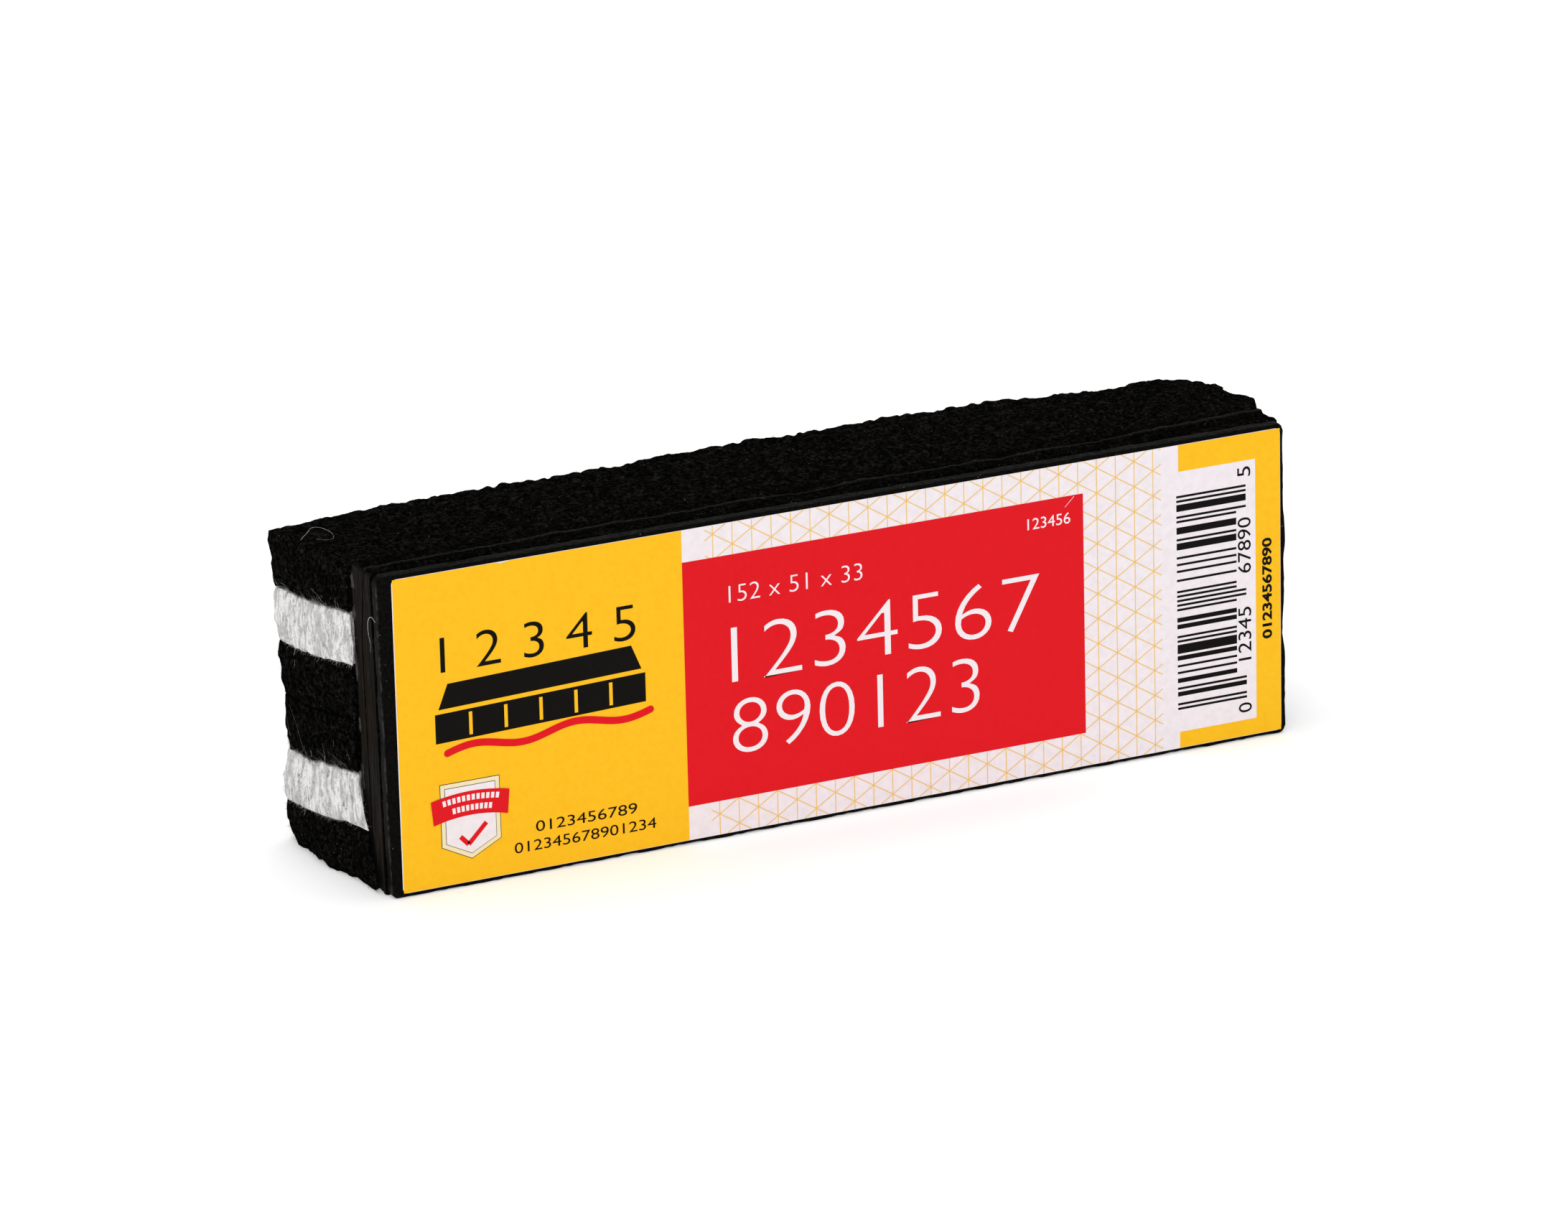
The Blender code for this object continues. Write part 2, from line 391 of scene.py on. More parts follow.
MATERIALS = {
    "paper": paper_material(),
    "yellow": ink_material("ink_yellow", (0.985, 0.550, 0.016), (0.95, 0.44, 0.009)),
    "red": ink_material("ink_red", (0.76, 0.009, 0.016), (0.70, 0.006, 0.011)),
    "black": ink_material("ink_black", (0.0030, 0.0026, 0.0018), (0.0065, 0.0058, 0.0042)),
    "white": ink_material("ink_white", (0.91, 0.85, 0.88), (0.86, 0.80, 0.83)),
    "grid": ink_material("ink_grid", (0.89, 0.58, 0.16), (0.85, 0.50, 0.11)),
    "cream": ink_material("ink_cream", (0.90, 0.80, 0.52), (0.85, 0.74, 0.45)),
    "board": board_material(),
    "backing": backing_material(),
    "black_felt": black_felt_material("black_felt_nap", NAP_SHADE, BLACK_TUFT, 0.5),
    "white_felt": white_felt_material("white_felt_nap"),
    "black_fibre": black_felt_material("black_felt_fibre", BLACK_FIBRE_SHADE, BLACK_FIBRE_TIP, 0.6),
    "white_fibre": white_felt_material("white_felt_fibre"),
    "lint": white_felt_material("pale_lint"),
    "glue": glue_material("brown_glue_dried", (0.018, 0.014, 0.011), (0.055, 0.045, 0.038), 0.5),
    "adhesive": glue_material("label_adhesive_film", (0.72, 0.68, 0.55), (0.80, 0.77, 0.66), 0.25),
}


# ---- Meshes -------------------------------------------------------------------------------------

def add_mesh(name, points, faces, material, wear_and_highlight=None):
    """A smooth-shaded piece from points in millimetres, which rides on the part's one body."""
    mesh = bpy.data.meshes.new(name)
    mesh.from_pydata((np.asarray(points) * MM).tolist(), [], [list(face) for face in faces])
    mesh.shade_smooth()
    if wear_and_highlight is not None:
        mesh.attributes.new("wear_and_highlight", "FLOAT", "POINT").data.foreach_set("value", wear_and_highlight.astype(np.float32))
    mesh.materials.append(MATERIALS[material])
    piece = bpy.data.objects.new(name, mesh)
    bpy.context.scene.collection.objects.link(piece)
    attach(piece, "root")
    return piece


def smooth_noise(points, cell, seed):
    """Smooth noise from -1 to 1 at each point, with features about one cell across, or one per axis."""
    side = 32
    table = np.random.default_rng(seed).uniform(-1.0, 1.0, (side, side, side))
    scaled = np.asarray(points) / cell
    base = np.floor(scaled).astype(int)
    part = scaled - base
    part = part * part * (3.0 - 2.0 * part)
    total = np.zeros(len(scaled))
    for corner in product((0, 1), repeat=3):
        weight = np.prod(np.where(corner, part, 1.0 - part), axis=1)
        total += weight * table[tuple(((base + corner) % side).T)]
    return total


def spots(x, y, z):
    """Points from their coordinates, each a list or a single number."""
    return np.stack(np.broadcast_arrays(x, y, z), axis=1)


def unit(vectors):
    """The vectors along the last axis, each scaled to length 1."""
    return vectors / np.maximum(np.linalg.norm(vectors, axis=-1, keepdims=True), 1e-12)


def lift_off_floor(points, clearance=0.0):
    points[:, 2] = np.maximum(points[:, 2], clearance)
    return points


def smooth_step(values, low, high):
    """0 below low and 1 above high, with a smooth slope between."""
    share = np.clip((np.asarray(values) - low) / (high - low), 0.0, 1.0)
    return share * share * (3.0 - 2.0 * share)


def ticks(low, high, step, rim, rim_steps):
    """Positions from low to high, evenly spaced inside and closer together within the rim at either end."""
    inside = np.linspace(low + rim, high - rim, max(2, round((high - low - 2 * rim) / step) + 1))
    edge = np.linspace(0.0, rim, rim_steps, endpoint=False)
    return np.concatenate([low + edge, inside, high - edge[::-1]])


def box_surface(axes):
    """The points on the surface of a lattice with these three lists of positions, and its quads."""
    counts = [len(axis) for axis in axes]
    shell = np.ones(counts, bool)
    shell[1:-1, 1:-1, 1:-1] = False
    index = np.full(counts, -1)
    index[shell] = np.arange(shell.sum())
    places = np.argwhere(shell)
    points = np.stack([np.asarray(axis)[places[:, k]] for k, axis in enumerate(axes)], axis=1)
    quads = []
    for axis, end in product(range(3), (0, -1)):
        sheet = index.take(end, axis=axis)
        loops = np.stack([sheet[:-1, :-1], sheet[1:, :-1], sheet[1:, 1:], sheet[:-1, 1:]], -1).reshape(-1, 4)
        quads.append(loops[:, ::-1] if (end == 0) != (axis == 1) else loops)
    return points, np.concatenate(quads)


def round_edges(points, low, high, radius):
    """Rounds the box's edges and corners to an elliptical radius."""
    radius = np.asarray(radius)
    inner = np.clip(points, low + radius, high - radius)
    out = (points - inner) / radius
    length = np.linalg.norm(out, axis=1, keepdims=True)
    return inner + radius * out / np.maximum(length, 1e-9)


def vertex_normals(points, quads):
    one = points[quads[:, 2]] - points[quads[:, 0]]
    other = points[quads[:, 3]] - points[quads[:, 1]]
    normals = np.zeros_like(points)
    for corner in range(4):
        np.add.at(normals, quads[:, corner], np.cross(one, other))
    return unit(normals)


def block(low, high, radius, step, rim_steps):
    """A closed, finely divided box with rounded edges."""
    low = np.asarray(low, float)
    high = np.asarray(high, float)
    axes = [ticks(low[k], high[k], step[k], radius[k], rim_steps) for k in range(3)]
    points, quads = box_surface(axes)
    return round_edges(points, low, high, radius), quads


# ---- Shared shape of the eraser's ends ----------------------------------------------------------

LEFT_SLANT_TOP = 0.75
LEFT_SLANT_BOTTOM = 0.10
RIGHT_STAND = 0.40


def left_slant(z):
    """How far the left cut stands out past the nominal end, because the blade ran slightly off square."""
    return LEFT_SLANT_BOTTOM + (LEFT_SLANT_TOP - LEFT_SLANT_BOTTOM) * z / HEIGHT


def right_stand(z):
    """How far the right cut stands out past the nominal end, in slow waves."""
    return RIGHT_STAND + 0.16 * np.sin(z / 4.1) + 0.09 * np.sin(z / 1.7 + 1.0)


def cut_stand(x, z):
    """How far the cut end on the side of x stands out past the nominal end."""
    return np.where(x < 0, left_slant(z), right_stand(z))


def place_ends(points):
    """Moves a layer's ends out to the cuts that the blade really made."""
    share = np.clip(points[:, 0] / HALF_LENGTH, -1.0, 1.0)
    points[:, 0] += cut_stand(share, points[:, 2]) * share
    return points


# ---- Face board and backing plies ---------------------------------------------------------------

BOARD_RADIUS = (0.25, 0.25, 0.25)
BOARD_STEP = (0.5, 0.4, 1.0)
BOARD_GROWTH = (0.0, 0.0, 0.17)
BOARD_CORNER = 1.2
FLOOR_CLEARANCE = 0.02
PLY_RADIUS = (0.2, 0.14, 0.4)
PLY_STEP = (0.5, 0.17, 1.2)
PLY_CORNER = 0.8
# By the side where a ply meets the other one: its lip at the seam, and the ridge near its far edge.
PLY_LIPS = {1: 0.50, -1: -0.26}
PLY_RIDGES = {1: 0.16, -1: 0.20}
LIP_SPREAD = 0.45
RIDGE_INSET = 0.5
RIDGE_SPREAD = 0.35
GLUE_FILM_RADIUS = (0.3, 0.04, 0.3)
GLUE_FILM_STEP = (0.8, 0.07, 0.8)
# How far the plies' seam shifts along the top, at even steps from the left, and the height it fades over.
SEAM_SHIFTS = (-1.7, -0.4, -0.9, 0.8)
SEAM_FADE = 12.0


def round_corners(points, low, high, radius):
    """Rounds a layer's four corners, seen from the front."""
    inner_x = np.clip(points[:, 0], low[0] + radius, high[0] - radius)
    inner_z = np.clip(points[:, 2], low[2] + radius, high[2] - radius)
    dx = points[:, 0] - inner_x
    dz = points[:, 2] - inner_z
    reach = np.maximum(np.abs(dx), np.abs(dz))
    length = np.hypot(dx, dz)
    share = np.where(length > 0, reach / np.maximum(length, 1e-9), 1.0)
    points[:, 0] = inner_x + dx * share
    points[:, 2] = inner_z + dz * share
    return points


def make_board():
    low = BOARD_LOW - BOARD_GROWTH
    high = BOARD_HIGH + BOARD_GROWTH
    points, quads = block(low, high, BOARD_RADIUS, BOARD_STEP, 4)
    points = round_corners(points, low, high, BOARD_CORNER)
    rim_x = np.minimum(points[:, 0] - low[0], high[0] - points[:, 0])
    rim_z = np.minimum(points[:, 2] - low[2], high[2] - points[:, 2])
    rim = 1.0 - smooth_step(np.minimum(rim_x, rim_z), 0.05, 0.4)
    front = 1.0 - smooth_step(points[:, 1], BOARD_LOW[1] + 0.15, BOARD_LOW[1] + 0.6)
    normals = vertex_normals(points, quads)
    wobble = 0.10 * smooth_noise(points, 2.6, 11) + 0.07 * smooth_noise(points, 0.9, 12)
    grain = 0.025 * smooth_noise(points, (1.5, 0.4, 1.5), 13)
    points = points + normals * (wobble * rim + grain * rim)[:, None]
    points[:, 1] = np.maximum(points[:, 1], BOARD_LOW[1])
    points = place_ends(lift_off_floor(points, FLOOR_CLEARANCE))
    # The front face's rim is painted paler: partly scuffing, partly a painted highlight along the edge.
    scuff_and_highlight = 1.0 - smooth_step(np.minimum(rim_x, rim_z), 0.02, 0.17)
    wear_and_highlight = scuff_and_highlight * front - np.abs(normals[:, 2]) * (1.0 - 0.4 * front)
    piece = add_mesh("face_board_skin", points, quads, "board", wear_and_highlight)
    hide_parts("face_board")


def ply_seam_shift(x, z):
    """How far the seam between the plies wanders front to back, most of all along the top side."""
    along = np.interp(x, np.linspace(-HALF_LENGTH, HALF_LENGTH, len(SEAM_SHIFTS)), SEAM_SHIFTS)
    return along * smooth_step(z, HEIGHT - SEAM_FADE, HEIGHT) + 0.25 * np.sin(x / 9.0)


def make_ply(name, low, high, seam_side, seed):
    """One dense ply. seam_side is the side, -1 front or 1 rear, where it meets the other ply."""
    points, quads = block(low, high, PLY_RADIUS, PLY_STEP, 3)
    points = round_corners(points, low, high, PLY_CORNER)
    normals = vertex_normals(points, quads)
    long_side = np.abs(normals[:, 2])
    cut_end = np.abs(normals[:, 0])
    seam, far = (high[1], low[1]) if seam_side > 0 else (low[1], high[1])
    from_seam = np.abs(points[:, 1] - seam)
    from_far = np.abs(points[:, 1] - far)
    lip = PLY_LIPS[seam_side] * np.exp(-(from_seam / LIP_SPREAD) ** 2)
    lip = lip + PLY_RIDGES[seam_side] * np.exp(-((from_far - RIDGE_INSET) / RIDGE_SPREAD) ** 2)
    rough = 0.13 * smooth_noise(points, (1.6, 0.8, 1.6), seed) + 0.12 * smooth_noise(points, 0.7, seed + 1)
    broad = 0.12 * smooth_noise(points, (9.0, 3.0, 9.0), seed + 2)
    blade = 0.05 * smooth_noise(points, (4.0, 0.45, 14.0), seed + 3)
    blade += 0.03 * smooth_noise(points, (4.0, 0.25, 5.0), seed + 4)
    ripple = lip * (0.7 + 0.5 * smooth_noise(points, (5.0, 50.0, 50.0), seed + 5))
    relief = long_side * (ripple + rough + broad) + cut_end * (blade + 0.4 * rough)
    points = points + normals * relief[:, None]
    reach = (points[:, 1] - low[1]) / (high[1] - low[1])
    reach = reach if seam_side > 0 else 1.0 - reach
    points[:, 1] += ply_seam_shift(points[:, 0], points[:, 2]) * np.clip(reach, 0.0, 1.0)
    points = place_ends(lift_off_floor(points, FLOOR_CLEARANCE))
    # A painted highlight along the front ply's ridge at the seam, on the top side only, where the light falls
    # from above.
    edge = np.exp(-(from_seam / 0.30) ** 2) * 2.0 * (seam_side > 0) * long_side
    wear_and_highlight = np.maximum(cut_end ** 2, edge * smooth_step(points[:, 2], 10.0, 40.0))
    piece = add_mesh(f"{name}_body", points, quads, "backing", wear_and_highlight)
    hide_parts(name)


def make_seam_glue():
    """The glue film between the plies, which wanders front to back with their seam."""
    points, quads = block(PLY_GLUE_LOW, PLY_GLUE_HIGH, GLUE_FILM_RADIUS, GLUE_FILM_STEP, 2)
    points[:, 1] += ply_seam_shift(points[:, 0], points[:, 2])
    piece = add_mesh("ply_glue_film", points, quads, "glue")
    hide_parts("ply_glue")


# ---- Felt strips --------------------------------------------------------------------------------

STRIP_COLOURS = ("black", "white", "black", "black", "white", "black")
STRIP_COUNT = len(STRIP_COLOURS)
STRIP_GAP = 0.12
SEAM_RISE_AT_ROOT = 0.6
SEAM_LEAN = 2.6
ROOT_OVERHANG = 0.75
LIP_REACH = 5.0
PILLOW = 0.38
LIP_HEIGHTS = (0.0, 3.0, 6.0, 12.0, 18.0, 28.0, 33.0, 38.0, 42.0, 51.0)
LIP_LENGTHS = (7.0, 6.2, 4.4, 3.0, 1.0, 0.2, 0.5, 1.7, 0.5, 0.0)
LEFT_FLARE_HEIGHTS = (0.0, 4.0, 8.0, 15.0, 22.0, 30.0, 39.0, 46.0, 48.5, 51.0)
LEFT_FLARES = (2.7, 3.3, 3.5, 2.9, 2.7, 3.3, 3.3, 3.4, 3.9, 3.9)
TOP_EDGE_PLACES = (-79.0, -58.0, -39.0, -17.0, 25.0, 50.0, 71.0)
TOP_EDGE_HEIGHTS = (49.8, 50.6, 50.6, 50.9, 51.05, 50.7, 49.8)
FELT_RADIUS = (0.30, 0.50, 0.22)
# The share of a side wall's normal that may point outwards before it counts as exposed.
HIDDEN_LEAN = 0.3
FELT_STEP = 0.5
TOP_FELT_STEP = 0.37


def depth_share(y):
    """How far y is from the strips' roots, 0, to the erasing face, 1."""
    return np.clip((y - ROOT) / (FACE - ROOT), 0.0, 1.0)


def seam_height(seam, x, y):
    """Height of the surface between strips. Seam 0 is the bottom side and the last one is the top side."""
    share = depth_share(y)
    level = HEIGHT * seam / STRIP_COUNT
    place = spots(x, y, level)
    edge = 1.0 - smooth_step(HALF_LENGTH + ROOT_OVERHANG - np.abs(x), 0.0, 0.9)
    edge = np.maximum(edge, smooth_step(y, FACE - 1.1, FACE))
    if seam == 0:
        return 0.35 * edge
    if seam == STRIP_COUNT:
        sag = 0.35 + (level - 0.35 - np.interp(x, TOP_EDGE_PLACES, TOP_EDGE_HEIGHTS)) * share ** 2
        return level - sag - 0.25 * edge + 0.22 * smooth_noise(place, (11.0, 7.0, 9.0), 32)
    wander = 0.35 * smooth_noise(place, (9.0, 7.0, 1.0), 33) + 0.20 * smooth_noise(place, (2.2, 1.7, 1.0), 34)
    return level + SEAM_RISE_AT_ROOT - SEAM_LEAN * share + wander + 0.12 * smooth_noise(place, 1.1, 35)


def left_reach(y, z):
    """Distance of the left cut end from the middle: flared towards the erasing face."""
    share = depth_share(y)
    place = spots(0.0, y, z)
    flare = np.interp(z, LEFT_FLARE_HEIGHTS, LEFT_FLARES)
    high = smooth_step(z, 30.0, 46.0)
    swell = np.where(share < 0.6, np.sin(np.pi / 2 * np.clip(share / 0.6, 0.0, 1.0)) ** 1.2, 1.0)
    grow = high * share ** 0.8 + (1.0 - high) * swell
    tuck = 0.7 * (1.0 - high) * np.clip((share - 0.75) / 0.25, 0.0, 1.0) ** 2
    root = ROOT_OVERHANG + left_slant(z)
    return HALF_LENGTH + root + (flare - root) * grow - tuck + 0.25 * smooth_noise(place, 4.0, 41)


def right_reach(y, z):
    """Distance of the right cut end from the middle: bulging near the root, worn round at the far top."""
    share = depth_share(y)
    place = spots(0.0, y, z)
    top = smooth_step(z, 30.0, 49.0)
    bulge = smooth_step(share, 0.0, 0.2) * (0.5 + 1.2 * (1.0 - top) * share)
    bulge += (0.3 + 1.2 * top) * np.exp(-((share - 0.26) / 0.11) ** 2)
    worn = np.clip((share - 0.68) / 0.32, 0.0, 1.0)
    corner = (1.2 + 5.0 * top) * (1.0 - np.sqrt(1.0 - worn ** 2.2))
    return HALF_LENGTH + ROOT_OVERHANG + RIGHT_STAND + bulge - corner + 0.35 * smooth_noise(place, 3.4, 42)


def end_lip(x, y, z):
    """How far the cut end's front edge hangs forward over the backing's end."""
    reach = np.where(x < 0, 1.0, 0.35) * np.interp(z, LIP_HEIGHTS, LIP_LENGTHS)
    place = spots(x, 0.0, z)
    reach = np.maximum(reach + 0.35 * smooth_noise(place, 1.8, 43), 0.0)
    fade = np.clip(1.0 - (y - ROOT) / LIP_REACH, 0.0, 1.0) ** 2
    backing = HALF_LENGTH + cut_stand(x, z)
    return reach * fade * smooth_step(np.abs(x), backing + 0.35, backing + 0.70)


def shape_strip(points, number, height):
    """Bends a plain block into the strip: leaning seams, flared ends, and lips over the backing's ends."""
    x, y, z = points.T
    upper = STRIP_COUNT - number + 1
    low = seam_height(upper - 1, x, y) + (STRIP_GAP / 2 if upper > 1 else 0.0)
    high = seam_height(upper, x, y) - (STRIP_GAP / 2 if upper < STRIP_COUNT else 0.0)
    across = z / height
    z = low + (high - low) * across
    pillow = PILLOW * (1.0 - (2.0 * across - 1.0) ** 4)
    reach = np.where(x < 0, left_reach(y, z), right_reach(y, z)) + pillow
    x = x * reach / HALF_LENGTH
    y = y - end_lip(x, y, z)
    return spots(x, y, z)


def felt_relief(points, normals, colour, seed):
    """Height of the nap: broad lumps, tufts, and on the cut ends strands that run up and down."""
    end = np.abs(normals[:, 0]) ** 2
    lumps = 0.20 * smooth_noise(points, 7.0, seed) + 0.17 * smooth_noise(points, 2.6, seed + 1)
    tufts = 0.30 * smooth_noise(points, 1.3, seed + 2) + 0.20 * smooth_noise(points, 0.75, seed + 6)
    pits = -0.45 * np.clip(smooth_noise(points, 1.7, seed + 3) - 0.40, 0.0, 1.0)
    strands = 0.20 * smooth_noise(points, (1.5, 1.25, 5.0), seed + 4)
    cuts = -0.60 * np.clip(smooth_noise(points, (3.0, 1.1, 5.0), seed + 5) - 0.40, 0.0, 1.0)
    flat = lumps + tufts + pits
    cut = 0.7 * lumps + 0.6 * tufts + strands + (cuts if colour == "white" else 0.5 * cuts)
    return flat * (1.0 - end) + cut * end


def outer_share(points, normals, number):
    """How exposed each point is: the sides between strips and the root stay flat, so strips stay apart."""
    exposed = np.abs(normals[:, 0]) + np.clip(normals[:, 1], 0.0, 1.0)
    if number == 1:
        exposed = exposed + np.clip(normals[:, 2], 0.0, 1.0)
    if number == STRIP_COUNT:
        exposed = exposed + np.clip(-normals[:, 2], 0.0, 1.0)
    exposed = (exposed - HIDDEN_LEAN) / (1.0 - HIDDEN_LEAN)
    near_root = smooth_step(points[:, 1], ROOT - 1.0, ROOT + 1.2)
    return np.clip(exposed, 0.0, 1.0) * (0.25 + 0.75 * near_root)


def make_strip(number, colour):
    height = HEIGHT / STRIP_COUNT
    low = np.array([-HALF_LENGTH, ROOT, 0.0])
    high = np.array([HALF_LENGTH, FACE, height])
    step = TOP_FELT_STEP if number == 1 else FELT_STEP
    points, quads = block(low, high, FELT_RADIUS, (step, step, step), 2)
    points = shape_strip(points, number, height)
    normals = vertex_normals(points, quads)
    relief = felt_relief(points, normals, colour, 100 + 10 * number)
    points = points + normals * (relief * outer_share(points, normals, number))[:, None]
    name = f"felt_strip_{number}_{colour}"
    piece = add_mesh(f"{name}_nap", lift_off_floor(points), quads, f"{colour}_felt")
    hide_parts(name)
    return points, quads


# ---- Fibres -------------------------------------------------------------------------------------

FIBRE_SIDES = 3
FIBRE_RINGS = 4
FUZZ_COUNT = 7500
TOP_FUZZ_COUNT = 9000
FUZZ_LENGTHS = (0.25, 0.95)
FUZZ_RADII = (0.012, 0.024)
FUZZ_CURL = 0.35
FRINGE_RADII = (0.010, 0.020)
FRINGE_CURL = 0.25
FRINGE_END_SHARE = 0.62
FRINGE_SPAN = (-78.0, 77.0)
FRINGE_ROOT_DEPTH = 0.3
WISP_SHARE = 0.05
WISP_STRETCH = 2.6
# How many fibres cross a seam, by their colour and by whether they point up.
FRINGE_COUNTS = {("white", True): 3200, ("white", False): 1500, ("black", True): 900, ("black", False): 900}


def fibre_mesh(paths, radii):
    """Closed three-sided tubes that taper to a tip. Paths are (count, rings, 3)."""
    count, rings, _ = paths.shape
    along = unit(np.gradient(paths, axis=1))
    spare = np.where(np.abs(along[..., :1]) < 0.8, [1.0, 0.0, 0.0], [0.0, 1.0, 0.0])
    side = unit(np.cross(along, spare))
    up = np.cross(along, side)
    taper = np.linspace(1.0, 0.25, rings)[None, :, None]
    points = []
    for k in range(FIBRE_SIDES):
        angle = 2.0 * math.pi * k / FIBRE_SIDES
        ring = side * math.cos(angle) + up * math.sin(angle)
        points.append(paths + ring * radii[:, None, None] * taper)
    points = np.stack(points, axis=2).reshape(-1, 3)
    starts = np.arange(count) * rings * FIBRE_SIDES
    faces = []
    for ring, k in product(range(rings - 1), range(FIBRE_SIDES)):
        a = ring * FIBRE_SIDES + k
        b = ring * FIBRE_SIDES + (k + 1) % FIBRE_SIDES
        faces.append(starts[:, None] + np.array([a, b, b + FIBRE_SIDES, a + FIBRE_SIDES]))
    sides = np.concatenate(faces).tolist()
    first = (starts[:, None] + np.array([2, 1, 0])).tolist()
    last = (starts[:, None] + (rings - 1) * FIBRE_SIDES + np.array([0, 1, 2])).tolist()
    return points, sides + first + last


def grow_fibres(roots, directions, lengths, radii, curl, rng):
    """Curved paths that leave their roots along the directions and bend to a random side."""
    share = np.linspace(0.0, 1.0, FIBRE_RINGS)[None, :, None]
    bend = rng.normal(0.0, 1.0, roots.shape)
    paths = roots[:, None, :] + directions[:, None, :] * lengths[:, None, None] * share
    paths = paths + bend[:, None, :] * (curl * lengths)[:, None, None] * share ** 2
    return fibre_mesh(paths, radii)


def scatter(points, quads, weight, count, rng):
    """Random places on the quads, in proportion to area times weight, with their normals."""
    corners = points[quads]
    cross = np.cross(corners[:, 2] - corners[:, 0], corners[:, 3] - corners[:, 1])
    area = np.linalg.norm(cross, axis=1)
    normals = cross / np.maximum(area, 1e-12)[:, None]
    chance = area * weight(normals)
    picks = rng.choice(len(quads), count, p=chance / chance.sum())
    u, v = rng.random((2, count, 1))
    chosen = corners[picks]
    low = chosen[:, 0] * (1 - u) + chosen[:, 1] * u
    high = chosen[:, 3] * (1 - u) + chosen[:, 2] * u
    return low * (1 - v) + high * v, normals[picks]


def make_fuzz(number, colour, points, quads):
    """Loose fibre ends that stand off a strip's exposed sides."""
    rng = np.random.default_rng(500 + number)
    top = number == 1
    bottom = number == STRIP_COUNT

    def weight(normals):
        exposed = np.abs(normals[:, 0]) * 2.2 + np.clip(normals[:, 1], 0.0, 1.0)
        exposed += np.clip(normals[:, 2], 0.0, 1.0) * (1.6 if top else 0.0)
        exposed += np.clip(-normals[:, 2], 0.0, 1.0) * (0.25 if bottom else 0.0)
        return exposed + 1e-6

    count = TOP_FUZZ_COUNT if top else FUZZ_COUNT
    roots, normals = scatter(points, quads, weight, count, rng)
    lie = rng.normal(0.0, 1.0, roots.shape)
    lie[:, 2] *= 1.0 if top else 1.6
    directions = unit(0.55 * normals + 0.75 * unit(lie))
    lengths = rng.uniform(*FUZZ_LENGTHS, count) * (0.9 if colour == "white" else 1.0)
    radii = rng.uniform(*FUZZ_RADII, count)
    fibres, faces = grow_fibres(roots - 0.08 * normals, directions, lengths, radii, FUZZ_CURL, rng)
    name = f"felt_strip_{number}_{colour}_fuzz"
    add_mesh(name, lift_off_floor(fibres), faces, f"{colour}_fibre")


def make_seam_fringe(seam, colour, upward, seed):
    """Fibres of a strip that cross its seam onto the neighbour, on both cut ends and the erasing face."""
    rng = np.random.default_rng(seed)
    count = FRINGE_COUNTS[colour, upward]
    at_end = rng.random(count) < FRINGE_END_SHARE
    left = rng.random(count) < 0.5
    y = np.where(at_end, rng.uniform(ROOT - 0.2, FACE - 0.4, count), FACE)
    x = np.where(at_end, np.where(left, -HALF_LENGTH, HALF_LENGTH), rng.uniform(*FRINGE_SPAN, count))
    level = seam_height(seam, x, y)
    reach = np.where(left, -left_reach(y, level), right_reach(y, level))
    x = np.where(at_end, reach, x * 0.985)
    outward = np.where(at_end, np.where(left, -1.0, 1.0), 0.0)
    roots = spots(x - 0.22 * outward, y - np.where(at_end, 0.0, 0.2), level)
    directions = np.stack([
        0.25 * outward + rng.normal(0.0, 0.12, count),
        np.where(at_end, rng.normal(0.0, 0.6, count), 0.25),
        (1.0 if upward else -1.0) * np.abs(rng.normal(0.7, 0.35, count)),
    ], axis=1)
    roots[:, 2] -= FRINGE_ROOT_DEPTH * np.sign(directions[:, 2])
    lengths = rng.gamma(1.6, 0.34 if upward else 0.16, count) + 0.3
    if upward:
        lengths[(rng.random(count) < WISP_SHARE) & at_end] *= WISP_STRETCH
    radii = rng.uniform(*FRINGE_RADII, count)
    fibres, faces = grow_fibres(roots, directions, lengths, radii, FRINGE_CURL, rng)
    direction = "up" if upward else "down"
    add_mesh(f"seam_{seam}_{colour}_fringe_{direction}", fibres, faces, f"{colour}_fibre")


def make_fringes():
    for seam in range(1, STRIP_COUNT):
        above = STRIP_COLOURS[STRIP_COUNT - seam - 1]
        below = STRIP_COLOURS[STRIP_COUNT - seam]
        if above != below:
            make_seam_fringe(seam, below, True, 700 + seam)
            make_seam_fringe(seam, above, False, 800 + seam)


def catmull(values, fine):
    """A smooth curve through the values, read at fractional places."""
    padded = np.concatenate([[2 * values[0] - values[1]], values, [2 * values[-1] - values[-2]]])
    base = np.clip(np.floor(fine).astype(int), 0, len(values) - 2)
    t = fine - base
    p0, p1, p2, p3 = (padded[base + k] for k in range(4))
    square = (2 * p0 - 5 * p1 + 4 * p2 - p3) * t ** 2
    return 0.5 * (2 * p1 + (p2 - p0) * t + square + (3 * p1 - p0 - 3 * p2 + p3) * t ** 3)


def make_hair(name, points, radius):
    """A single loose hair through a few points, as a closed tube along a smooth curve."""
    points = np.array(points, float)
    fine = np.linspace(0, len(points) - 1, 8 * len(points))
    path = np.stack([catmull(points[:, k], fine) for k in range(3)], axis=1)
    fibres, faces = fibre_mesh(path[None], np.array([radius]))
    add_mesh(name, fibres, faces, "lint")


# Where the loose strands on the left cut end start: depth behind the label, and height.
STRAND_PLACES = ((24.5, 21.5), (22.0, 20.0), (18.6, 23.5), (17.2, 19.5), (25.5, 34.5))
STRAND_STEPS = 6


